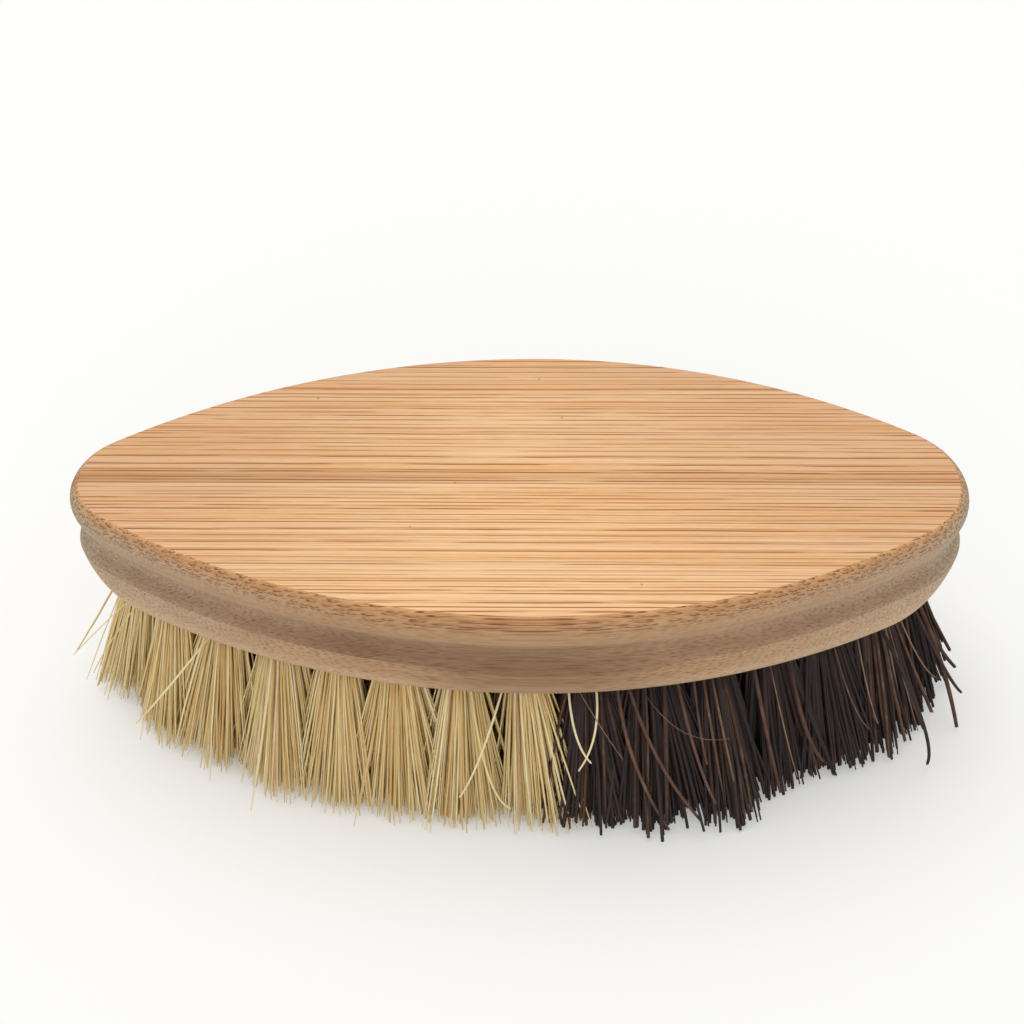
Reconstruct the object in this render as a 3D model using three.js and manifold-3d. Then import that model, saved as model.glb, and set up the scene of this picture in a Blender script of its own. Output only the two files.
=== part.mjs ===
// Vegetable brush. An eye-shaped block of laminated bamboo, with a finger groove round its edge, carries two
// fields of plant-fibre tufts, pale fibre on the left and dark fibre on the right. Each tuft is folded over a
// flat wire anchor at the bottom of its own drilled hole.
// Millimetres, +Z up, length along X. The brush stands on its bristle tips at Z = 0, centred on the origin.
import * as THREE from "three";
import { mergeVertices } from "three/addons/utils/BufferGeometryUtils.js";
import Module from "manifold-3d";

const wasm = await Module();
wasm.setup();

// Block outline from above, at its widest bead
const blockLength = 134;
const blockWidth = 60;
const widestPointShift = 2.5; // the widest point lies this far towards the dark end
const paleTipRadius = 11.5;
const darkTipRadius = 14.5;

// Block plies, glued one on another
const topPlyThickness = 6;
const corePlyThickness = 4.3;
const bottomPlyThickness = 7.2;

// Glue seams between the front and the rear strip of each ply, as distances in Y from the middle
const topSeam = -0.75;
const coreSeam = -7;
const bottomSeam = 5.5;

// Edge profile, as depths below the top face and insets from the widest outline
const topEdgeInset = 1.5;
const beadDepth = 1.7; // the upper bead is widest this far below the top face
const creaseInset = 1.7; // where the upper bead runs into the groove
const grooveDepth = 1.2; // of the groove behind the line from crease to ridge
const ridgeInset = 0.5; // where the groove runs into the lower bead
const baseEdgeInset = 3.8; // edge of the flat underside

// Tuft holes
const holeRadius = 2.6;
const holeDepth = 10;
const fitClearance = 0.3;
const sideMargin = 8; // from the widest outline to the middle of the outer tufts, at the sides
const tipMargin = 9.8; // the same at the two tips
const rowTipPitch = 15; // each inner row ends this much further from the tips
const fibreSplit = 5.75; // X of the line between pale and dark fibre
const paleTuftCounts = [15, 9, 3]; // in the outer, the middle and the centre row
const darkTuftCounts = [13, 7, 2];

// Bristles
const bristleLength = 25; // from the underside to the floor
const bedThickness = 1.2; // slice of the underside that the strands of one fibre share
const bedMargin = 0.5; // from the outer holes to the edge of that slice
const strandsRoundTuft = 8; // besides one strand in the middle of each tuft
const strandRadius = 0.55;
const rootRing = 1.7; // radius of the ring of strands where they leave the block
const tipRing = 3.6; // radius of that ring at the floor
const tipLean = 7.5; // the end tufts meet the floor this far outside their holes

// Wire anchors
const anchorThickness = 0.5;
const anchorHeight = 3;
const foldThickness = 1.2; // of fibre folded over the anchor

// Facets
const sideArcSteps = 18;
const tipArcSteps = 10;
const beadSteps = 4;
const holeSides = 8;
const rowSamples = 720; // points along a row from which the tufts' places are picked
const cutAllowance = 1; // cutters reach this far past what they cut
const strandSides = 3;

// Heights worked out from the sizes above
const underside = bristleLength;
const bottomPlyTop = underside + bottomPlyThickness;
const corePlyTop = bottomPlyTop + corePlyThickness;
const topFace = corePlyTop + topPlyThickness;
const holeEnd = underside + holeDepth;
const anchorTop = holeEnd - fitClearance - foldThickness;

// Spread of the whole field of tufts between block and floor, the same all over
const fan = 1 + tipLean / (blockLength / 2 - tipMargin);

const bamboo = new THREE.MeshStandardMaterial({ color: 0xd9a873, roughness: 0.55, metalness: 0 });
const paleFibre = new THREE.MeshStandardMaterial({ color: 0xcdb67c, roughness: 0.7, metalness: 0 });
const darkFibre = new THREE.MeshStandardMaterial({ color: 0x2b1f1c, roughness: 0.6, metalness: 0 });
const wire = new THREE.MeshStandardMaterial({ color: 0xb4b4ae, roughness: 0.35, metalness: 1 });

// Half of an eye from its widest point to one tip: a long side arc that runs into a round tip.
function halfEye(reach, halfWidth, tipRadius) {
  const run = reach - tipRadius;
  const sideRadius = (run ** 2 + halfWidth ** 2 - tipRadius ** 2) / (2 * (halfWidth - tipRadius));
  const offset = sideRadius - halfWidth;
  return { run, sideRadius, offset, meet: Math.atan2(offset, run), tipRadius };
}

// The six arcs of an eye, anticlockwise from the front of its widest line, all inset by the same distance.
function eyeArcs(halfLength, halfWidth, paleRadius, darkRadius, inset = 0) {
  const pale = halfEye(halfLength + widestPointShift, halfWidth, paleRadius);
  const dark = halfEye(halfLength - widestPointShift, halfWidth, darkRadius);
  const arc = (x, y, radius, from, to, steps) => {
    return { curve: new THREE.EllipseCurve(x, y, radius - inset, radius - inset, from, to), steps };
  };
  const side = (half, sign, from, to) => {
    return arc(widestPointShift, sign * half.offset, half.sideRadius, from, to, sideArcSteps);
  };
  const tip = (half, x, from, to) => arc(widestPointShift + x, 0, half.tipRadius, from, to, tipArcSteps);
  const halfTurn = Math.PI;
  return [
    side(dark, 1, -halfTurn / 2, -dark.meet),
    tip(dark, dark.run, -dark.meet, dark.meet),
    side(dark, -1, dark.meet, halfTurn / 2),
    side(pale, -1, halfTurn / 2, halfTurn - pale.meet),
    tip(pale, -pale.run, halfTurn - pale.meet, halfTurn + pale.meet),
    side(pale, 1, halfTurn + pale.meet, 1.5 * halfTurn),
  ];
}

// The block's outline at an inset, as a ring of points at one height.
function blockRing(inset, z) {
  const arcs = eyeArcs(blockLength / 2, blockWidth / 2, paleTipRadius, darkTipRadius, inset);
  const points = arcs.flatMap(({ curve, steps }) => curve.getPoints(steps).slice(0, -1));
  return points.map((p) => new THREE.Vector3(p.x, p.y, z));
}

// A closed skin through rings of equally many points, each anticlockwise from above, from low to high.
function loft(rings) {
  const count = rings[0].length;
  const index = [];
  for (let r = 0; r + 1 < rings.length; r++) {
    for (let i = 0; i < count; i++) {
      const a = r * count + i;
      const b = r * count + ((i + 1) % count);
      index.push(a, b, b + count, a, b + count, a + count);
    }
  }
  const cap = (ring) => THREE.ShapeUtils.triangulateShape(ring.map((p) => new THREE.Vector2(p.x, p.y)), []);
  const top = (rings.length - 1) * count;
  cap(rings[0]).forEach(([a, b, c]) => index.push(a, c, b));
  cap(rings.at(-1)).forEach(([a, b, c]) => index.push(top + a, top + b, top + c));
  return new THREE.BufferGeometry().setFromPoints(rings.flat()).setIndex(index);
}

// A closed geometry as a solid that can be cut and joined, and back.
function solid(geometry) {
  geometry.deleteAttribute("normal");
  geometry.deleteAttribute("uv");
  const merged = mergeVertices(geometry);
  const vertProperties = merged.attributes.position.array;
  const triVerts = new Uint32Array(merged.index.array);
  return new wasm.Manifold(new wasm.Mesh({ numProp: 3, vertProperties, triVerts }));
}

function geometryOf(body) {
  const { vertProperties, triVerts } = body.getMesh();
  const geometry = new THREE.BufferGeometry();
  geometry.setAttribute("position", new THREE.BufferAttribute(vertProperties, 3));
  geometry.setIndex(new THREE.BufferAttribute(triVerts, 1));
  geometry.computeVertexNormals();
  return geometry;
}

// A box between two corners.
function box(low, high) {
  const size = high.map((value, axis) => value - low[axis]);
  const centre = high.map((value, axis) => (value + low[axis]) / 2);
  return solid(new THREE.BoxGeometry(...size).translate(...centre));
}

// An upright prism round a tuft's axis.
function post(x, y, radius, low, high) {
  const prism = new THREE.CylinderGeometry(radius, radius, high - low, holeSides);
  return solid(prism.rotateX(Math.PI / 2).translate(x, y, (low + high) / 2));
}

const joined = (bodies) => bodies.reduce((whole, body) => whole.add(body));
const fractions = (count) => Array.from({ length: count + 1 }, (_, i) => i / count);
const quarter = Math.PI / 2;

// Edge profiles of the three plies, from low to high, as [inset, height].
function lowerBead() {
  return fractions(beadSteps + 1).map((t) => [
    ridgeInset + (baseEdgeInset - ridgeInset) * (1 - Math.sin(t * quarter)),
    bottomPlyTop - bottomPlyThickness * Math.cos(t * quarter),
  ]);
}

function groove() {
  return fractions(beadSteps + 2).map((t) => [
    ridgeInset + (creaseInset - ridgeInset) * t + grooveDepth * Math.sin(t * Math.PI),
    bottomPlyTop + corePlyThickness * t,
  ]);
}

function upperBead() {
  const below = fractions(beadSteps).map((t) => [
    creaseInset * (1 - Math.sin(t * quarter)),
    topFace - beadDepth - (topPlyThickness - beadDepth) * Math.cos(t * quarter),
  ]);
  const above = fractions(beadSteps).map((t) => [
    topEdgeInset * (1 - Math.cos(t * quarter)),
    topFace - beadDepth * (1 - Math.sin(t * quarter)),
  ]);
  return [...below, ...above.slice(1)];
}

// Tufts sit on eye-shaped rows, evenly spaced along each fibre's share of a row, and clear of the split.
function rowPoints(row, rows, isPale) {
  const count = (isPale ? paleTuftCounts : darkTuftCounts)[row];
  const outerHalfWidth = blockWidth / 2 - sideMargin;
  const halfLength = blockLength / 2 - tipMargin - row * rowTipPitch;
  const halfWidth = outerHalfWidth * (1 - row / (rows - 1));
  if (halfWidth === 0) {
    const end = isPale ? -halfLength : halfLength;
    const place = (i) => fibreSplit + ((end - fibreSplit) * (i + 0.5)) / count;
    return Array.from({ length: count }, (_, i) => new THREE.Vector2(place(i), 0));
  }
  const tipRadius = halfWidth / 4;
  const path = new THREE.CurvePath();
  eyeArcs(halfLength, halfWidth, tipRadius, tipRadius).forEach(({ curve }) => path.add(curve));
  const points = path.getSpacedPoints(rowSamples).slice(1);
  const isMine = (p) => p.x < fibreSplit === isPale;
  const start = points.findIndex((p, i) => isMine(p) && !isMine(points.at(i - 1)));
  const share = [...points.slice(start), ...points.slice(0, start)].filter(isMine);
  return Array.from({ length: count }, (_, i) => share[Math.floor(((i + 0.5) / count) * share.length)]);
}

function tuftCentres(isPale) {
  const rows = paleTuftCounts.length;
  return paleTuftCounts.flatMap((_, row) => rowPoints(row, rows, isPale));
}

const tufts = { pale: tuftCentres(true), dark: tuftCentres(false) };
const allTufts = [...tufts.pale, ...tufts.dark];

// The slice of the underside that a fibre's strands stand on, and the pocket that it fills.
const bedInset = sideMargin - holeRadius - bedMargin;
const bedTop = underside + bedThickness;
const pocket = solid(loft([blockRing(bedInset - fitClearance, 0), blockRing(bedInset - fitClearance, bedTop)]));
const drilled = joined(allTufts.map((p) => post(p.x, p.y, holeRadius, 0, holeEnd)));

// A ply is cut along its seam into a front and a rear strip, then pocketed and drilled.
function strips(profile, seam) {
  const ply = solid(loft(profile.map(([inset, z]) => blockRing(inset, z))));
  const cut = ply.subtract(pocket).subtract(drilled);
  const high = topFace + cutAllowance;
  const front = box([-blockLength, -blockWidth, 0], [blockLength, seam, high]);
  const rear = box([-blockLength, seam, 0], [blockLength, blockWidth, high]);
  return { front: cut.intersect(front), rear: cut.intersect(rear) };
}

// One strand: a slim prism from inside the bed to a flat cut on the floor.
function strand(root, tip, turn) {
  const ring = (centre, z) =>
    Array.from({ length: strandSides }, (_, i) => {
      const angle = turn + (i * 2 * Math.PI) / strandSides;
      const x = centre.x + strandRadius * Math.cos(angle);
      return new THREE.Vector3(x, centre.y + strandRadius * Math.sin(angle), z);
    });
  return solid(loft([ring(tip, 0), ring(root, underside + bedThickness / 2)]));
}

function tuftStrands(centre) {
  const tipCentre = centre.clone().multiplyScalar(fan);
  const round = Array.from({ length: strandsRoundTuft }, (_, i) => {
    const angle = centre.angle() + (i * 2 * Math.PI) / strandsRoundTuft;
    const out = new THREE.Vector2(Math.cos(angle), Math.sin(angle));
    const root = centre.clone().addScaledVector(out, rootRing);
    return strand(root, tipCentre.clone().addScaledVector(out, tipRing), angle);
  });
  return [strand(centre, tipCentre, 0), ...round];
}

// The folded root of a tuft fills its hole, with a slot for the anchor under the fold.
function tuftRoot(centre) {
  const root = post(centre.x, centre.y, holeRadius - fitClearance, underside, holeEnd - fitClearance);
  const halfSlot = anchorThickness / 2 + fitClearance;
  const low = [centre.x - holeRadius, centre.y - halfSlot, anchorTop - anchorHeight - fitClearance];
  const high = [centre.x + holeRadius, centre.y + halfSlot, anchorTop + fitClearance];
  return root.subtract(box(low, high));
}

function bristles(centres, isPale) {
  const bed = solid(loft([blockRing(bedInset, underside), blockRing(bedInset, bedTop - fitClearance)]));
  const low = isPale ? -blockLength : fibreSplit;
  const high = isPale ? fibreSplit : blockLength;
  const share = bed.intersect(box([low, -blockWidth, 0], [high, blockWidth, topFace]));
  return joined([share, ...centres.map(tuftRoot), ...centres.flatMap(tuftStrands)]);
}

function anchor() {
  const halfWidth = holeRadius * Math.cos(Math.PI / holeSides) - fitClearance;
  const low = [-halfWidth, -anchorThickness / 2, anchorTop - anchorHeight];
  return box(low, [halfWidth, anchorThickness / 2, anchorTop]);
}

// Assembly
const brush = new THREE.Group();

function add(name, body, material) {
  const mesh = new THREE.Mesh(geometryOf(body), material);
  mesh.name = name;
  brush.add(mesh);
  return mesh;
}

const plies = [
  ["top", upperBead(), topSeam],
  ["core", groove(), coreSeam],
  ["bottom", lowerBead(), bottomSeam],
];
for (const [name, profile, seam] of plies) {
  const { front, rear } = strips(profile, seam);
  add(`${name}_ply_front_strip`, front, bamboo);
  add(`${name}_ply_rear_strip`, rear, bamboo);
}

add("pale_bristles", bristles(tufts.pale, true), paleFibre);
add("dark_bristles", bristles(tufts.dark, false), darkFibre);

for (const [fibre, centres] of Object.entries(tufts)) {
  centres.forEach((centre, i) => {
    const piece = add(`${fibre}_tuft_anchor_${String(i + 1).padStart(2, "0")}`, anchor(), wire);
    piece.position.set(centre.x, centre.y, 0);
  });
}

export default brush;
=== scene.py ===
"""Looks of a vegetable brush.

A laminated bamboo block with a finger groove round its edge carries tufts of plant fibre, pale at one end and
dark at the other. Sizes are written in millimetres and become metres where a mesh is made.
"""

import logging
import math
from dataclasses import dataclass, field, replace
from enum import Enum, IntEnum
from typing import Any, Mapping, Optional, Sequence, Union

import bmesh
import bpy
from mathutils import Matrix, Vector

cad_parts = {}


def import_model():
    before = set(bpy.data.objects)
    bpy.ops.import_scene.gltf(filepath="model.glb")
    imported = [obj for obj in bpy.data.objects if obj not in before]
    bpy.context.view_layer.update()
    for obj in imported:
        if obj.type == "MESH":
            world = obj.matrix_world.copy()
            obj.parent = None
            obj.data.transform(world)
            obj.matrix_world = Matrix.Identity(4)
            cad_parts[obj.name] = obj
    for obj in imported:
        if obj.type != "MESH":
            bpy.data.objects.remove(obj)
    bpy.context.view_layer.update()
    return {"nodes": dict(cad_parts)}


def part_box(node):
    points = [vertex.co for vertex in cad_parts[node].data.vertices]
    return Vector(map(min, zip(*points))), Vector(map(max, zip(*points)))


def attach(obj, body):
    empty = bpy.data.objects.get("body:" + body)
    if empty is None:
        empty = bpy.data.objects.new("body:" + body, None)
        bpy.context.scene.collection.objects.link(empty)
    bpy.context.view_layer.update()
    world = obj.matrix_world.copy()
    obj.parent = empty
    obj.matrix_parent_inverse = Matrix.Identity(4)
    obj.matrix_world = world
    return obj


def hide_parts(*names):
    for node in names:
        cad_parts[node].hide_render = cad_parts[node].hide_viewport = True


LOG = logging.getLogger("vegetable_brush")
MM = 0.001
QUARTER_TURN = math.pi / 2
UNDERSIDE = 25.0
Colour = tuple[float, float, float, float]
Range = tuple[float, float]


class Fibre(Enum):
    """The two plant fibres of the brush."""

    PALE = "pale"
    DARK = "dark"


OUTER_TUFTS = {Fibre.PALE: 15, Fibre.DARK: 13}


class Ply(Enum):
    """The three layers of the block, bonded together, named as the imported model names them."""

    TOP = "top"
    CORE = "core"
    BOTTOM = "bottom"


class Rows(Enum):
    """The tufts round the edge of the brush, and those inside them."""

    OUTER = "outer"
    INNER = "inner"


class Side(Enum):
    """The two strips of a ply, either side of the seam that bonds them."""

    FRONT = "front"
    REAR = "rear"


class Draw(IntEnum):
    """What chance decides about a fibre, its lock or its tuft, each with a seed offset of its own."""

    LOCK = 1
    STRAY = 2
    STRAY_LEAN = 3
    SHORTNESS = 4
    LOCK_SHORTNESS = 5
    TONE = 6
    LOCK_TONE = 7
    TUFT_TONE = 8
    THICKNESS = 9
    LOCK_PLACE = 10
    PLACE = 20
    TUFT_SWAY = 30
    LOCK_LEAN = 40
    TIP_SCATTER = 50
    BOW = 60


def srgb(red: float, green: float, blue: float) -> Colour:
    """Turn a screen colour into the linear colour that a shader takes.

    Args:
        red: Red from 0 to 255.
        green: Green from 0 to 255.
        blue: Blue from 0 to 255.

    Returns:
        The linear colour with full alpha.
    """

    def linear(value: float) -> float:
        """Undo the screen's tone curve for one channel."""
        share = value / 255
        return share / 12.92 if share <= 0.04045 else ((share + 0.055) / 1.055) ** 2.4

    return (linear(red), linear(green), linear(blue), 1.0)


class Wire:
    """An output socket that takes part in Python arithmetic, where each operation adds a node."""

    def __init__(self, graph: "Graph", socket: bpy.types.NodeSocket) -> None:
        """Keep the socket and the graph that it belongs to."""
        self.graph = graph
        self.socket = socket

    @property
    def is_vector(self) -> bool:
        """Whether the socket carries three numbers."""
        return self.socket.type in {"VECTOR", "RGBA"}

    def __add__(self, other: "Operand") -> "Wire":
        """Add a number, a vector or a wire."""
        return self.graph.arithmetic("ADD", self, other)

    def __radd__(self, other: "Operand") -> "Wire":
        """Add to a number or a vector."""
        return self.graph.arithmetic("ADD", other, self)

    def __sub__(self, other: "Operand") -> "Wire":
        """Take a number, a vector or a wire away."""
        return self.graph.arithmetic("SUBTRACT", self, other)

    def __rsub__(self, other: "Operand") -> "Wire":
        """Take this wire away from a number or a vector."""
        return self.graph.arithmetic("SUBTRACT", other, self)

    def __mul__(self, other: "Operand") -> "Wire":
        """Multiply by a number, a vector or a wire."""
        return self.graph.arithmetic("MULTIPLY", self, other)

    def __rmul__(self, other: "Operand") -> "Wire":
        """Multiply a number or a vector by this wire."""
        return self.graph.arithmetic("MULTIPLY", other, self)

    def __truediv__(self, other: "Operand") -> "Wire":
        """Divide by a number, a vector or a wire."""
        return self.graph.arithmetic("DIVIDE", self, other)

    def __pow__(self, other: "Operand") -> "Wire":
        """Raise to a power."""
        return self.graph.arithmetic("POWER", self, other)

    def __abs__(self) -> "Wire":
        """Drop the sign."""
        return self.graph.node("ShaderNodeMath", {"operation": "ABSOLUTE"}, {0: self})


Operand = Union[Wire, float, int, Sequence[float]]


class Graph:
    """Adds nodes to a shader or a geometry tree."""

    def __init__(self, tree: bpy.types.NodeTree) -> None:
        """Start on a node tree."""
        self.tree = tree

    def node(
        self,
        kind: str,
        settings: Optional[Mapping[str, Any]] = None,
        inputs: Optional[Mapping[Union[str, int], Any]] = None,
        output: Union[str, int] = 0,
    ) -> Wire:
        """Add one node.

        Args:
            kind: The node's type name.
            settings: Values of the node itself, set first; "stops" fills a colour ramp.
            inputs: Values or wires by socket name or number.
            output: The socket to give back, by name or number.

        Returns:
            A wire from that output.
        """
        made = self.tree.nodes.new(kind)
        for name, value in (settings or {}).items():
            if name == "stops":
                self._fill_ramp(made.color_ramp, value)
            else:
                setattr(made, name, value)
        for key, value in (inputs or {}).items():
            socket = self._pick(made.inputs, key)
            if isinstance(value, Wire):
                self.tree.links.new(value.socket, socket)
            else:
                socket.default_value = value
        return Wire(self, self._pick(made.outputs, output))

    @staticmethod
    def _pick(sockets: Any, key: Union[str, int]) -> bpy.types.NodeSocket:
        """Find a socket by number, or the live one of that name.

        Args:
            sockets: A node's inputs or outputs.
            key: The socket's number or name.

        Returns:
            The socket.
        """
        if isinstance(key, int):
            return sockets[key]
        return next(socket for socket in sockets if socket.name == key and socket.enabled)

    @staticmethod
    def _fill_ramp(ramp: bpy.types.ColorRamp, stops: Sequence[tuple[float, Colour]]) -> None:
        """Give a colour ramp its stops.

        Args:
            ramp: The ramp.
            stops: Places from 0 to 1 with their colours, in order.
        """
        while len(ramp.elements) < len(stops):
            ramp.elements.new(1.0)
        for element, (place, colour) in zip(ramp.elements, stops):
            element.position = place
            element.color = colour

    @staticmethod
    def _is_vector(operand: Operand) -> bool:
        """Whether an operand has three parts."""
        return operand.is_vector if isinstance(operand, Wire) else not isinstance(operand, (int, float))

    def arithmetic(self, operation: str, first: Operand, second: Operand) -> Wire:
        """Combine two operands with a Math node, or a Vector Math node where one is a vector.

        Args:
            operation: The node's operation.
            first: The left operand.
            second: The right operand.

        Returns:
            The result.
        """
        if not (self._is_vector(first) or self._is_vector(second)):
            return self.node("ShaderNodeMath", {"operation": operation}, {0: first, 1: second})
        left, right = (
            (operand, operand, operand) if isinstance(operand, (int, float)) else operand
            for operand in (first, second)
        )
        return self.node("ShaderNodeVectorMath", {"operation": operation}, {0: left, 1: right})

    def between(self, value: Wire, low: float, high: float) -> Wire:
        """Ease a value from 0 to 1 between two limits, of which either may be the larger.

        Args:
            value: The value.
            low: Where the result is 0.
            high: Where the result is 1.

        Returns:
            The eased value.
        """
        steps = {"interpolation_type": "SMOOTHSTEP"}
        sign = 1 if low < high else -1
        inputs = {"Value": value * sign, "From Min": low * sign, "From Max": high * sign}
        return self.node("ShaderNodeMapRange", steps, inputs)

    def at_least(self, value: Wire, least: float) -> Wire:
        """Squeeze a value that runs from 0 to 1 into the range from a least value to 1."""
        return value * (1 - least) + least

    def blend(self, share: Operand, first: Any, second: Any, how: str = "MIX") -> Wire:
        """Mix two colours.

        Args:
            share: How much of the second, from 0 to 1.
            first: The first colour or wire.
            second: The second colour or wire.
            how: The way that they mix.

        Returns:
            The mixed colour.
        """
        settings = {"data_type": "RGBA", "blend_type": how}
        return self.node("ShaderNodeMix", settings, {"Factor": share, "A": first, "B": second}, "Result")

    def vector(self, x: Operand, y: Operand, z: Operand) -> Wire:
        """Join three numbers into a vector."""
        return self.node("ShaderNodeCombineXYZ", None, {"X": x, "Y": y, "Z": z})

    def parts(self, vector: Wire) -> tuple[Wire, Wire, Wire]:
        """Split a vector into its three numbers.

        Args:
            vector: The vector.

        Returns:
            Its X, Y and Z.
        """
        first = self.node("ShaderNodeSeparateXYZ", None, {"Vector": vector})
        made = first.socket.node
        return first, Wire(self, made.outputs[1]), Wire(self, made.outputs[2])


class Shader(Graph):
    """A material whose nodes end in one Principled shader."""

    def __init__(self, name: str) -> None:
        """Make an empty material.

        Args:
            name: The material's name.
        """
        self.material = bpy.data.materials.new(name)
        self.material.use_nodes = True
        self.material.node_tree.nodes.clear()
        super().__init__(self.material.node_tree)

    def place(self) -> Wire:
        """The point on the object, in millimetres."""
        place = self.node("ShaderNodeTexCoord", None, None, "Object")
        return place * (1 / MM)

    def noise(self, vector: Wire, detail: float = 2.0) -> Wire:
        """Soft noise from 0 to 1 with features about one unit across."""
        inputs = {"Vector": vector, "Scale": 1.0, "Detail": detail, "Roughness": 0.5}
        return self.node("ShaderNodeTexNoise", None, inputs)

    def larger(self, first: Wire, second: Wire) -> Wire:
        """The larger of two numbers."""
        return self.node("ShaderNodeMath", {"operation": "MAXIMUM"}, {0: first, 1: second})

    def finish(self, **inputs: Any) -> bpy.types.Material:
        """Add the Principled shader and the output.

        Args:
            inputs: The shader's sockets, with underscores for spaces.

        Returns:
            The finished material.
        """
        sockets = {name.replace("_", " "): value for name, value in inputs.items()}
        surface = self.node("ShaderNodeBsdfPrincipled", None, sockets)
        out = self.tree.nodes.new("ShaderNodeOutputMaterial")
        self.tree.links.new(surface.socket, out.inputs["Surface"])
        return self.material


@dataclass(frozen=True)
class Grain:
    """A streaky pattern: its length along the veins and width across them in millimetres, and its detail."""

    length: float
    width: float
    detail: float = 2.0


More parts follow.
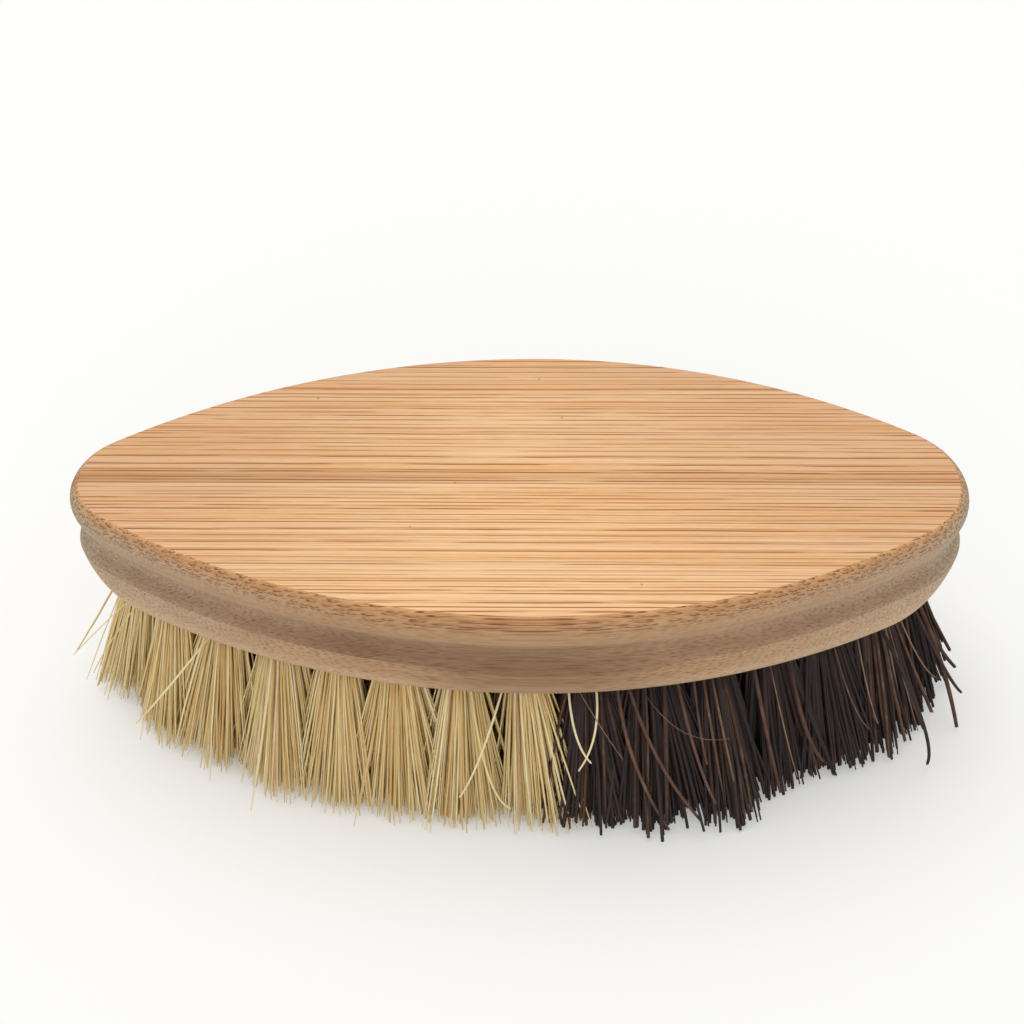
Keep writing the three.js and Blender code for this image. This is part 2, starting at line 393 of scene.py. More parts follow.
@dataclass(frozen=True)
class BambooFinish:
    """Sanded bamboo, whose veins run along X.

    The veins are thin lines on flat faces and rings where they are cut across. A range gives the values at
    which an easing starts and ends, and a share how much of a colour is mixed in. Lengths are in millimetres,
    apart from the edges of lines, hairs, pores, rings and specks, which are in pitches.
    """

    name: str
    seed: float
    low: float
    high: float
    seam: float
    seam_shade: float = 0.0
    seam_line: float = 0.15
    light: Colour = srgb(255, 217, 168)
    middle: Colour = srgb(243, 183, 124)
    blush: Colour = srgb(250, 190, 144)
    side_light: Colour = srgb(214, 173, 133)
    side_middle: Colour = srgb(197, 152, 112)
    vein: Colour = srgb(146, 84, 38)
    cut_vein: Colour = srgb(118, 77, 42)
    end_light: Colour = srgb(213, 196, 173)
    end_dark: Colour = srgb(180, 162, 139)
    # Pale colour of the bond line between plies, also used for the painted sheen that widens it.
    glue_and_sheen: Colour = srgb(226, 204, 174)
    # Paler colour mixed into a ply's lower part as painted light bounced up from the floor, and near its
    # crown.
    foot: Colour = srgb(246, 216, 180)
    skin_shade: Colour = srgb(252, 236, 218)
    far_shade: Colour = srgb(234, 232, 239)
    groove_shade: Colour = srgb(176, 168, 166)
    drift: float = 0.9
    ripple: float = 0.3
    drift_grain: Grain = Grain(120.0, 24.0)
    ripple_grain: Grain = Grain(16.0, 1.4, 1.0)
    streak_grain: Grain = Grain(26.0, 0.3, 3.0)
    broad_grain: Grain = Grain(70.0, 2.6)
    fleck_grain: Grain = Grain(2.4, 0.22)
    end_grain: Grain = Grain(0.8, 0.35)
    flat_range: Range = (0.86, 0.95)
    cut_range: Range = (0.16, 0.8)
    streak_weight: float = 0.4
    broad_weight: float = 0.4
    fleck_weight: float = 0.2
    tone_range: Range = (0.32, 0.66)
    blush_range: Range = (0.52, 0.68)
    blush_share: float = 0.5
    far_range: Range = (-20.0, 66.0)
    fleck_range: Range = (0.38, 0.62)
    fleck_share: float = 0.3
    end_range: Range = (0.35, 0.65)
    end_share: float = 0.85
    vein_share: float = 0.9
    thread_seed: float = 7.3
    thread_randomness: float = 0.85
    line_pitch: float = 0.88
    line_edge: Range = (0.18, 0.09)
    line_length: float = 18.0
    line_fade: Range = (0.36, 0.52)
    line_fade_least: float = 0.3
    line_least: float = 0.5
    hair_pitch: float = 0.4
    hair_edge: Range = (0.34, 0.1)
    hair_share: float = 0.36
    pore_pitch: float = 30.0
    pore_edge: Range = (0.009, 0.004)
    pore_share: float = 0.6
    ring_pitch: float = 0.57
    ring_radius: float = 0.24
    ring_edge: Range = (0.17, 0.05)
    ring_flatness: float = 0.85
    ring_randomness: float = 0.75
    ring_ragged: float = 0.35
    ragged_size: float = 0.3
    crescent_range: Range = (0.14, -0.1)
    crescent_least: float = 0.35
    ring_least: float = 0.7
    ring_drop: Range = (3.1, 1.6)
    ring_share: float = 0.0
    speck_pitch: float = 0.36
    speck_edge: Range = (0.4, 0.12)
    speck_share: float = 0.5
    seam_edge: Range = (0.16, 0.05)
    seam_shade_reach: Range = (5.0, 0.0)
    seam_shade_fade: Range = (15.0, -45.0)
    seam_shade_least: float = 0.4
    glue_and_sheen_edge: Range = (0.9, 0.1)
    glue_and_sheen_share: float = 0.5
    glue_and_sheen_least: float = 0.3
    low_rise: Range = (3.0, 0.0)
    low_shade: float = 0.0
    # Where and how strongly the painted bounce light pales a ply's lower part.
    bounce_light_rise: Range = (5.0, 2.2)
    bounce_light_share: float = 0.0
    crown_drop: Range = (1.8, 0.3)
    crown_share: float = 0.0
    head_drop: Range = (1.6, 0.2)
    head_share: float = 0.0
    head_least: float = 0.3
    # A darker stretch of the edge along the block: its share, middle, reach and fade.
    dark_stretch_share: float = 0.0
    dark_stretch_at: float = 0.0
    dark_stretch_reach: float = 30.0
    dark_stretch_fade: float = 20.0
    skin_drop: Range = (1.9, 0.4)
    # Depth and share of the painted highlight along the arris.
    arris_highlight_drop: Range = (0.5, 0.02)
    arris_highlight_share: float = 0.6
    arris_share: float = 0.0
    glue_height: float = 0.0
    bump_strength: float = 0.5
    bump_height: float = 0.06
    streak_relief: float = 0.5
    vein_relief: float = 0.8
    roughness: float = 0.44
    streak_roughness: float = 0.16
    vein_roughness: float = 0.1
    specular: float = 0.06

    def material(self) -> bpy.types.Material:
        """Build the material.

        Returns:
            The finished material.
        """
        shader = Shader(self.name)
        x, y, z = shader.parts(shader.place())
        sway = self._noise(shader, self.drift_grain, x, y, z) - 0.5
        ripple = self._noise(shader, self.ripple_grain, x, y, z) - 0.5
        across = y + sway * self.drift + ripple * self.ripple
        depth = z + sway * self.drift
        along, _, rising = shader.parts(shader.node("ShaderNodeNewGeometry", None, None, "Normal"))
        flat = shader.between(abs(rising), *self.flat_range)
        cut = shader.between(abs(along), *self.cut_range)
        streaks = self._noise(shader, self.streak_grain, x, across, depth)
        broad = self._noise(shader, self.broad_grain, x, across, depth)
        flecks = self._noise(shader, self.fleck_grain, x, across, depth)
        mixed = streaks * self.streak_weight + broad * self.broad_weight + flecks * self.fleck_weight
        tone = shader.between(mixed, *self.tone_range)
        face = self._face(shader, tone, broad, abs(x) + y)
        streaked = self._streaked(shader, tone, flecks)
        edge = shader.blend(cut * self.end_share, streaked, self._ends(shader, x, across, depth))
        colour = shader.blend(flat, self._side(shader, edge, x, z), face)
        veins = self._lines(shader, x, across, y) * flat + self._rings(shader, across, depth, z) * (1 - flat)
        colour = shader.blend(veins * self.vein_share, colour, shader.blend(flat, self.cut_vein, self.vein))
        colour = shader.blend(self._seam_mask(shader, x, y), colour, self.vein)
        # Painted sheen: the pale band is wide on the edges and strongest at the tips, as floor light caught
        # on the downward-facing edge.
        glue_and_sheen_amount = self._glue_and_sheen_mask(shader, z) * shader.at_least(cut, self.glue_and_sheen_least) * (1 - flat)
        colour = shader.blend(glue_and_sheen_amount, colour, self.glue_and_sheen)
        relief = {
            "Strength": self.bump_strength,
            "Distance": self.bump_height * MM,
            "Height": streaks * self.streak_relief - veins * self.vein_relief,
        }
        bump = shader.node("ShaderNodeBump", None, relief)
        rough = streaks * self.streak_roughness + veins * self.vein_roughness + self.roughness
        return shader.finish(
            Base_Color=colour,
            Roughness=rough,
            Normal=bump,
            Specular_IOR_Level=self.specular,
        )

    def _noise(self, shader: Shader, grain: Grain, x: Wire, across: Wire, depth: Wire) -> Wire:
        """Streaky noise from 0 to 1 along the veins."""
        place = shader.vector(x / grain.length + self.seed, across / grain.width, depth / grain.width)
        return shader.noise(place, grain.detail)

    def _face(self, shader: Shader, tone: Wire, broad: Wire, far: Wire) -> Wire:
        """Colour the flat faces between the veins in light, middle and pinkish streaks.

        Args:
            shader: The material in the making.
            tone: How light the streaks are, from 0 to 1.
            broad: The broad streaks, from 0 to 1.
            far: How near the tips and the rear a place is, in millimetres, where the face is darker.

        Returns:
            The colour.
        """
        colour = shader.blend(tone, self.middle, self.light)
        colour = shader.blend(shader.between(broad, *self.blush_range) * self.blush_share, colour, self.blush)
        return shader.blend(shader.between(far, *self.far_range), colour, self.far_shade, "MULTIPLY")

    def _streaked(self, shader: Shader, tone: Wire, flecks: Wire) -> Wire:
        """Colour the moulded edge where it runs along the veins, with fine darker flecks.

        Args:
            shader: The material in the making.
            tone: How light the streaks are, from 0 to 1.
            flecks: The flecks, from 0 to 1.

        Returns:
            The colour.
        """
        colour = shader.blend(tone, self.side_middle, self.side_light)
        share = shader.between(flecks, *self.fleck_range) * self.fleck_share
        return shader.blend(share, colour, self.groove_shade, "MULTIPLY")

    def _ends(self, shader: Shader, x: Wire, across: Wire, depth: Wire) -> Wire:
        """Colour the greyer end grain where the edge cuts the veins.

        Args:
            shader: The material in the making.
            x: Place along the block in millimetres.
            across: The place across the veins in millimetres.
            depth: The place down through the veins in millimetres.

        Returns:
            The colour.
        """
        size = self.end_grain
        place = shader.vector(x / size.length, across / size.width, depth / size.width)
        grain = shader.noise(place, size.detail)
        return shader.blend(shader.between(grain, *self.end_range), self.end_dark, self.end_light)

    def _above(self, shader: Shader, z: Wire, rises: Range) -> Wire:
        """Ease from 0 to 1 between two heights above the ply's lower face."""
        return shader.between(z, self.low + rises[0], self.low + rises[1])

    def _below(self, shader: Shader, z: Wire, drops: Range) -> Wire:
        """Ease from 0 to 1 between two depths below the ply's upper face."""
        return shader.between(z, self.high - drops[0], self.high - drops[1])

    def _side(self, shader: Shader, colour: Wire, x: Wire, z: Wire) -> Wire:
        """Shade the moulded edge.

        Args:
            shader: The material in the making.
            colour: The edge's colour between the veins.
            x: Place along the block in millimetres.
            z: Height in millimetres.

        Returns:
            The colour: painted bounce light low down, painted shade low in the groove, darker at its head and
                along one stretch, and a painted highlight at the arris.
        """
        # Painted light: a ply pales low down, as if lit by the floor below, and near its crown.
        foot = self._above(shader, z, self.bounce_light_rise) * self.bounce_light_share
        crown = self._below(shader, z, self.crown_drop) * self.crown_share
        colour = shader.blend(foot + crown, colour, self.foot)
        darker = self._above(shader, z, self.low_rise) * self.low_shade
        # Darker along one stretch of the block's length, easing out towards its reach.
        away = abs(x - self.dark_stretch_at)
        in_dark_stretch = shader.between(away, self.dark_stretch_reach, self.dark_stretch_reach - self.dark_stretch_fade)
        near_dark_stretch = shader.at_least(in_dark_stretch, self.head_least)
        head = self._below(shader, z, self.head_drop) * self.head_share * near_dark_stretch
        shade = darker + head + in_dark_stretch * self.dark_stretch_share
        colour = shader.blend(shade, colour, self.groove_shade, "MULTIPLY")
        skin = self._below(shader, z, self.skin_drop) * self.arris_share
        colour = shader.blend(skin, colour, self.skin_shade, "MULTIPLY")
        # Painted highlight: right at the arris the edge takes the face's colour, as a rounded edge catching
        # the light.
        arris_highlight = self._below(shader, z, self.arris_highlight_drop) * self.arris_share * self.arris_highlight_share
        return shader.blend(arris_highlight, colour, self.middle)

    def _threads(self, shader: Shader, across: Wire, pitch: float) -> tuple[Wire, Wire]:
        """Endless threads along X.

        Args:
            shader: The material in the making.
            across: The place across the threads in millimetres.
            pitch: Their mean spacing in millimetres.

        Returns:
            The distance from the nearest thread in pitches, and that thread's own random strength.
        """
        inputs = {
            "W": across / pitch + self.seed * self.thread_seed,
            "Scale": 1.0,
            "Randomness": self.thread_randomness,
        }
        away = shader.node("ShaderNodeTexVoronoi", {"voronoi_dimensions": "1D"}, inputs, "Distance")
        own, _, _ = shader.parts(Wire(shader, away.socket.node.outputs["Color"]))
        return away, own

    def _lines(self, shader: Shader, x: Wire, across: Wire, y: Wire) -> Wire:
        """Veins cut lengthwise: dark lines that fade in and out, over fine hairs and a few pores.

        Args:
            shader: The material in the making.
            x: Place along the block in millimetres.
            across: The place across the veins in millimetres.
            y: Place across the block in millimetres.

        Returns:
            How dark the veins are, from 0 to 1.
        """
        away, own = self._threads(shader, across, self.line_pitch)
        patch = shader.noise(shader.vector(x / self.line_length + self.seed, across / self.line_pitch, 0.0))
        fade = shader.at_least(shader.between(patch, *self.line_fade), self.line_fade_least)
        lines = shader.between(away, *self.line_edge) * fade * shader.at_least(own, self.line_least)
        hair_away, hair_own = self._threads(shader, across, self.hair_pitch)
        hairs = shader.between(hair_away, *self.hair_edge) * hair_own * self.hair_share
        spread = shader.vector(x / self.pore_pitch + self.seed, y / self.pore_pitch, 0.0)
        inputs = {"Vector": spread, "Scale": 1.0}
        pore_away = shader.node("ShaderNodeTexVoronoi", {"voronoi_dimensions": "2D"}, inputs, "Distance")
        pores = shader.between(pore_away, *self.pore_edge) * self.pore_share
        return shader.larger(shader.larger(lines, hairs), pores)

    def _rings(self, shader: Shader, across: Wire, depth: Wire, z: Wire) -> Wire:
        """Veins cut across: dark rings near the culm's skin, and fine specks deeper in.

        Args:
            shader: The material in the making.
            across: The place across the veins in millimetres.
            depth: The place down through the veins in millimetres.
            z: Height in millimetres.

        Returns:
            How dark the veins are, from 0 to 1.
        """
        wander = shader.vector(across / self.ragged_size, depth / self.ragged_size, self.seed)
        ragged = shader.noise(wander) - 0.5

        def cells(pitch: float) -> tuple[Wire, Wire, Wire]:
            """Scatter veins over the cut.

            Args:
                pitch: Their mean spacing in millimetres.

            Returns:
                Distance from the nearest vein and height above it, in pitches, and its own random strength.
            """
            cell = shader.vector(across / pitch + self.seed, depth / (pitch * self.ring_flatness), 0.0)
            cell = cell + ragged * self.ring_ragged
            inputs = {"Vector": cell, "Scale": 1.0, "Randomness": self.ring_randomness}
            away = shader.node("ShaderNodeTexVoronoi", {"voronoi_dimensions": "2D"}, inputs, "Distance")
            outputs = away.socket.node.outputs
            own, _, _ = shader.parts(Wire(shader, outputs["Color"]))
            _, above, _ = shader.parts(cell - Wire(shader, outputs["Position"]))
            return away, above, own

        near_skin = self._below(shader, z, self.ring_drop)
        away, above, own = cells(self.ring_pitch)
        crescent = shader.at_least(shader.between(above, *self.crescent_range), self.crescent_least)
        rings = shader.between(abs(away - self.ring_radius), *self.ring_edge) * crescent
        rings = rings * shader.at_least(own, self.ring_least)
        away, _, own = cells(self.speck_pitch)
        specks = shader.between(away, *self.speck_edge) * own * self.speck_share
        return shader.larger(rings * near_skin * self.ring_share, specks)

    def _seam_mask(self, shader: Shader, x: Wire, y: Wire) -> Wire:
        """A thin dark line along the seam, with a soft shade beside it that is strongest at the pale end.

        Args:
            shader: The material in the making.
            x: Place along the block in millimetres.
            y: Place across the block in millimetres.

        Returns:
            How dark the seam is, from 0 to 1.
        """
        away = abs(y - self.seam)
        towards_pale = shader.at_least(shader.between(x, *self.seam_shade_fade), self.seam_shade_least)
        shade = shader.between(away, *self.seam_shade_reach) * towards_pale * self.seam_shade
        return shader.between(away, *self.seam_edge) * self.seam_line + shade

    def _glue_and_sheen_mask(self, shader: Shader, z: Wire) -> Wire:
        """A pale band at the ply's bonded face: partly a thin bond line, partly a painted sheen of light from
        the floor.
        """
        return shader.between(abs(z - self.glue_height), *self.glue_and_sheen_edge) * self.glue_and_sheen_share


@dataclass(frozen=True)
class FibreFinish:
    """Dry plant fibre, where each fibre takes its colour from its own tone."""

    name: str
    stops: tuple[tuple[float, Colour], ...]
    root_shade: Colour
    roughness: float
    specular: float
    root_reach: Range = (0.35, 0.0)
    root_share: float = 0.6
    blotch_size: float = 2.2
    blotch_detail: float = 3.0
    blotch_share: float = 0.35
    grain_size: float = 0.14
    grain_roughness: float = 0.2
    bump_strength: float = 0.3
    bump_height: float = 0.03

    def material(self) -> bpy.types.Material:
        """Build the material.

        Returns:
            The finished material.
        """
        shader = Shader(self.name)
        tone = shader.node("ShaderNodeAttribute", {"attribute_name": "tone"}, None, "Fac")
        along = shader.node("ShaderNodeAttribute", {"attribute_name": "along"}, None, "Fac")
        place = shader.place()
        blotch = shader.noise(place / self.blotch_size, self.blotch_detail) - 0.5
        mottled = tone + blotch * self.blotch_share
        colour = shader.node("ShaderNodeValToRGB", {"stops": self.stops}, {"Fac": mottled}, "Color")
        near_root = shader.between(along, *self.root_reach) * self.root_share
        colour = shader.blend(near_root, colour, self.root_shade, "MULTIPLY")
        grain = shader.noise(place / self.grain_size)
        relief = {"Strength": self.bump_strength, "Distance": self.bump_height * MM, "Height": grain}
        return shader.finish(
            Base_Color=colour,
            Roughness=grain * self.grain_roughness + (self.roughness - self.grain_roughness / 2),
            Normal=shader.node("ShaderNodeBump", None, relief),
            Specular_IOR_Level=self.specular,
        )


@dataclass(frozen=True)
class WireFinish:
    """Plain drawn steel wire."""

    name: str = "anchor_wire_steel"
    bright: Colour = srgb(196, 196, 192)
    dull: Colour = srgb(150, 148, 142)
    line_length: float = 2.5
    line_width: float = 0.08
    roughness: float = 0.25
    line_roughness: float = 0.2

    def material(self) -> bpy.types.Material:
        """Build the material.

        Returns:
            The finished material.
        """
        shader = Shader(self.name)
        x, y, z = shader.parts(shader.place())
        drawn = shader.noise(shader.vector(x / self.line_length, y / self.line_width, z / self.line_width))
        colour = shader.blend(drawn, self.dull, self.bright)
        rough = drawn * self.line_roughness + self.roughness
        return shader.finish(Base_Color=colour, Roughness=rough, Metallic=1.0)


def seen_rays(graph: Graph) -> Wire:
    """Tell rays that show a thing itself from those that only light others.

    Args:
        graph: The tree in the making.

    Returns:
        1 on rays from the camera, a mirror or glass, and 0 on the rest.
    """
    kinds = ("Is Camera Ray", "Is Glossy Ray", "Is Transmission Ray")
    rays = [graph.node("ShaderNodeLightPath", None, None, kind) for kind in kinds]
    return graph.node("ShaderNodeClamp", None, {"Value": rays[0] + rays[1] + rays[2]})


@dataclass(frozen=True)
class FloorFinish:
    """A pale floor that is seen white, near and far, with the brush's soft shadow on it."""

    name: str = "pale_floor"
    seen: Colour = (0.66, 0.66, 0.65, 1.0)
    bounce: Colour = (0.66, 0.65, 0.63, 1.0)
    near_lift: Colour = (0.34, 0.34, 0.33, 1.0)
    far_lift: Colour = (0.57, 0.57, 0.57, 1.0)
    near: float = 350.0
    far: float = 1500.0
    half_length: float = 70.0
    half_width: float = 34.0
    glow_range: Range = (0.55, 0.95)
    unlit: Colour = (0.0, 0.0, 0.0, 1.0)
    roughness: float = 0.9

    def material(self) -> bpy.types.Material:
        """Build the material.

        Returns:
            The finished material.
        """
        shader = Shader(self.name)
        direct = seen_rays(shader)
        colour = shader.blend(direct, self.bounce, self.seen)
        x, y, _ = shader.parts(shader.place())
        away = self._length(shader, shader.vector(x, y, 0.0))
        lift = shader.blend(shader.between(away, self.near, self.far), self.near_lift, self.far_lift)
        beyond = self._length(shader, shader.vector(x / self.half_length, y / self.half_width, 0.0))
        # Painted light: the camera sees the floor glow, which lightens its shadows, more so far off and not
        # at all under the brush.
        glow = shader.blend(direct * shader.between(beyond, *self.glow_range), self.unlit, lift)
        return shader.finish(
            Base_Color=colour,
            Roughness=self.roughness,
            Specular_IOR_Level=0.0,
            Emission_Color=glow,
            Emission_Strength=1.0,
        )

    @staticmethod
    def _length(shader: Shader, vector: Wire) -> Wire:
        """Length of a vector."""
        return shader.node("ShaderNodeVectorMath", {"operation": "LENGTH"}, {0: vector}, "Value")


@dataclass(frozen=True)
class EyeOutline:
    """The block's pointed oval from above: four long side arcs and two round tips."""

    length: float = 134.0
    width: float = 60.0
    widest_shift: float = 2.5
    pale_tip_radius: float = 11.5
    dark_tip_radius: float = 14.5
    side_steps: int = 64
    tip_steps: int = 36

    def blunter(self, growth: float, cut: float) -> "EyeOutline":
        """The same outline with larger and shorter tips, which makes it fuller at its shoulders.

        Args:
            growth: How much larger each tip's radius is.
            cut: How much shorter each tip is.

        Returns:
            The blunter outline.
        """
        return replace(
            self,
            length=self.length - 2 * cut,
            pale_tip_radius=self.pale_tip_radius + growth,
            dark_tip_radius=self.dark_tip_radius + growth,
        )

    def _half(self, reach: float, tip_radius: float) -> tuple[float, float, float, float]:
        """Work out the arcs of one half.

        Args:
            reach: Distance from the widest line to the tip.
            tip_radius: Radius of the tip.

        Returns:
            Distance to the tip's centre, radius of the side, distance from the block's middle line to the
            side's centre, and the angle at which side and tip meet.
        """
        run = reach - tip_radius
        half_width = self.width / 2
        radius = (run**2 + half_width**2 - tip_radius**2) / (2 * (half_width - tip_radius))
        return run, radius, radius - half_width, math.atan2(radius - half_width, run)

    def ring(self, inset: float) -> list[tuple[float, float]]:
        """Points of the outline, anticlockwise from the front of its widest line.

        Args:
            inset: Distance inside the widest outline.

        Returns:
            The points in millimetres.
        """
        shift = self.widest_shift
        pale_reach = self.length / 2 + shift
        dark_reach = self.length / 2 - shift
        pale_run, pale_radius, pale_offset, pale_meet = self._half(pale_reach, self.pale_tip_radius)
        dark_run, dark_radius, dark_offset, dark_meet = self._half(dark_reach, self.dark_tip_radius)
        pale_start = math.pi - pale_meet
        pale_end = math.pi + pale_meet
        arcs = [
            (shift, dark_offset, dark_radius, -QUARTER_TURN, -dark_meet, self.side_steps),
            (shift + dark_run, 0, self.dark_tip_radius, -dark_meet, dark_meet, self.tip_steps),
            (shift, -dark_offset, dark_radius, dark_meet, QUARTER_TURN, self.side_steps),
            (shift, -pale_offset, pale_radius, QUARTER_TURN, pale_start, self.side_steps),
            (shift - pale_run, 0, self.pale_tip_radius, pale_start, pale_end, self.tip_steps),
            (shift, pale_offset, pale_radius, pale_end, 3 * QUARTER_TURN, self.side_steps),
        ]
        points = []
        for centre_x, centre_y, radius, start, end, steps in arcs:
            for step in range(steps):
                angle = start + (end - start) * step / steps
                reach = radius - inset
                points.append((centre_x + reach * math.cos(angle), centre_y + reach * math.sin(angle)))
        return points


@dataclass
class BambooBlock:
    """The block: three plies of two strips each, with a moulded edge and drilled tuft holes."""

    outline: EyeOutline = field(default_factory=EyeOutline)
    underside: float = UNDERSIDE
    bottom_thickness: float = 7.2
    core_thickness: float = 4.3
    top_thickness: float = 6.0
    top_edge_inset: float = 1.5
    bead_depth: float = 2.4
    bead_turn: float = math.radians(45)
    waist_height: float = 34.6
    waist_inset: float = 2.1
    ridge_inset: float = 0.5
    base_edge_inset: float = 4.0
    base_tip_growth: float = 4.2
    base_tip_cut: float = 1.8
    flat_margin: float = 0.2
    bead_steps: int = 14
    hole_radius: float = 2.6
    hole_depth: float = 5.0
    hole_sides: int = 20
    cutter_overhang: float = 1.0
    crease_angle: float = math.radians(25)
    ply_seed: float = 3.7
    side_seed: float = 1.9
    seams: Mapping[Ply, float] = field(
        default_factory=lambda: {Ply.TOP: -0.75, Ply.CORE: -7.0, Ply.BOTTOM: 5.5},
    )

    @property
    def bottom_top(self) -> float:
        """Height of the bottom ply's upper face."""
        return self.underside + self.bottom_thickness

    @property
    def core_top(self) -> float:
        """Height of the core ply's upper face."""
        return self.bottom_top + self.core_thickness

    @property
    def top_face(self) -> float:
        """Height of the flat top."""
        return self.core_top + self.top_thickness

    @property
    def widest_height(self) -> float:
        """Height where the block is widest."""
        return self.top_face - self.bead_depth

    def faces_of(self, ply: Ply) -> tuple[float, float]:
        """Find where a ply starts and ends.

        Args:
            ply: The ply.

        Returns:
            Its lower and upper height in millimetres.
        """
        heights = {
            Ply.TOP: (self.core_top, self.top_face),
            Ply.CORE: (self.bottom_top, self.core_top),
            Ply.BOTTOM: (self.underside, self.bottom_top),
        }
        return heights[ply]

    def edge_inset(self, height: float) -> float:
        """How far the moulded edge lies inside the outline, from the ridge up to the widest height.

        Args:
            height: Height in millimetres.

        Returns:
            The inset in millimetres.
        """
        if height < self.waist_height:
            rise = (height - self.bottom_top) / (self.waist_height - self.bottom_top)
            share = (1 - math.cos(rise * math.pi)) / 2
            return self.ridge_inset + (self.waist_inset - self.ridge_inset) * share
        fall = (self.widest_height - height) / (self.widest_height - self.waist_height)
        return self.waist_inset * (1 - math.cos(fall * math.pi)) / 2

    def below_ridge(self, height: float) -> float:
        """How far down the lower bead a height lies, from 0 at the ridge to 1 at the underside."""
        return max(0.0, self.bottom_top - height) / self.bottom_thickness

    def profile(self, ply: Ply) -> list[tuple[float, float]]:
        """Edge profile of a ply, from low to high.

        Args:
            ply: The ply.

        Returns:
            Insets and heights in millimetres.
        """
        low, high = self.faces_of(ply)
        shares = [step / self.bead_steps for step in range(self.bead_steps + 1)]
        if ply is Ply.BOTTOM:
            reach = self.base_edge_inset - self.ridge_inset
            turns = [QUARTER_TURN * share for share in shares]
            bead = [
                (self.ridge_inset + reach * (1 - math.sin(turn)), high - (high - low) * math.cos(turn))
                for turn in turns
            ]
            return [(self.base_edge_inset + self.flat_margin, low)] + bead
        moulded = min(high, self.widest_height)
        heights = [low + (moulded - low) * share for share in shares]
        edge = [(self.edge_inset(height), height) for height in heights]
        if ply is Ply.CORE:
            return edge
        turns = [self.bead_turn * share for share in shares[1:]]
        shoulder = [
            (
                self.top_edge_inset * (1 - math.cos(turn)) / (1 - math.cos(self.bead_turn)),
                self.widest_height + self.bead_depth * math.sin(turn) / math.sin(self.bead_turn),
            )
            for turn in turns
        ]
        return edge + shoulder + [(self.top_edge_inset + self.flat_margin, high)]

    def _ply_mesh(self, ply: Ply) -> bmesh.types.BMesh:
        """Loft a whole ply through its edge profile.

        Args:
            ply: The ply.

        Returns:
            The ply, closed above and below.
        """
        shape = bmesh.new()
        rings = []
        for inset, height in self.profile(ply):
            share = self.below_ridge(height)
            outline = self.outline.blunter(self.base_tip_growth * share, self.base_tip_cut * share)
            ring = [shape.verts.new((x * MM, y * MM, height * MM)) for x, y in outline.ring(inset)]
            rings.append(ring)
        count = len(rings[0])
        for lower, upper in zip(rings, rings[1:]):
            for i in range(count):
                j = (i + 1) % count
                shape.faces.new((lower[i], lower[j], upper[j], upper[i]))
        shape.faces.new(list(reversed(rings[0])))
        shape.faces.new(rings[-1])
        return shape

    def strip(self, ply: Ply, side: Side, holes: Optional[bpy.types.Object]) -> bpy.types.Object:
        """Make one strip of a ply, cut along its seam.

        Args:
            ply: The ply.
            side: The strip's side of the seam.
            holes: Cutter of the tuft holes, for the ply that they show in.

        Returns:
            The strip.
        """
        shape = self._ply_mesh(ply)
        outward = 1 if side is Side.FRONT else -1
        cut = bmesh.ops.bisect_plane(
            shape,
            geom=shape.verts[:] + shape.edges[:] + shape.faces[:],
            plane_co=(0, self.seams[ply] * MM, 0),
            plane_no=(0, outward, 0),
            clear_outer=True,
        )
        rim = [part for part in cut["geom_cut"] if isinstance(part, bmesh.types.BMEdge)]
        bmesh.ops.contextual_create(shape, geom=rim)
        bmesh.ops.recalc_face_normals(shape, faces=shape.faces[:])
        piece = mesh_object(f"bamboo_{ply.value}_{side.value}_strip", shape)
        if holes is not None:
            drill = piece.modifiers.new("drill", "BOOLEAN")
            drill.operation = "DIFFERENCE"
            drill.solver = "EXACT"
            drill.object = holes
            settle(piece)
        piece.data.shade_smooth()
        piece.data.set_sharp_from_angle(angle=self.crease_angle)
        return piece

    def hole_cutter(self, centres: Sequence[Vector]) -> bpy.types.Object:
        """Make one mesh of short posts that drills every tuft hole.

        Args:
            centres: Middles of the tufts in metres.

        Returns:
            The cutter, which is removed after use.
        """
        shape = bmesh.new()
        low = self.underside - self.cutter_overhang
        high = self.underside + self.hole_depth
        for centre in centres:
            place = Matrix.Translation((centre.x, centre.y, (low + high) / 2 * MM))
            bmesh.ops.create_cone(
                shape,
                cap_ends=True,
                segments=self.hole_sides,
                radius1=self.hole_radius * MM,
                radius2=self.hole_radius * MM,
                depth=(high - low) * MM,
                matrix=place,
            )
        return mesh_object("tuft_hole_cutter", shape)

    def build(self, centres: Sequence[Vector]) -> list[bpy.types.Object]:
        """Make and dress the six strips.

        Args:
            centres: Middles of the tufts in metres.

        Returns:
            The strips.
        """
        cutter = self.hole_cutter(centres)
        pieces = []
        for ply in Ply:
            for side in Side:
                piece = self.strip(ply, side, cutter if ply is Ply.BOTTOM else None)
                piece.data.materials.append(self.finish(ply, side).material())
                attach(piece, "root")
                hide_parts(f"{ply.value}_ply_{side.value}_strip")
                pieces.append(piece)
        bpy.data.objects.remove(cutter)
        return pieces

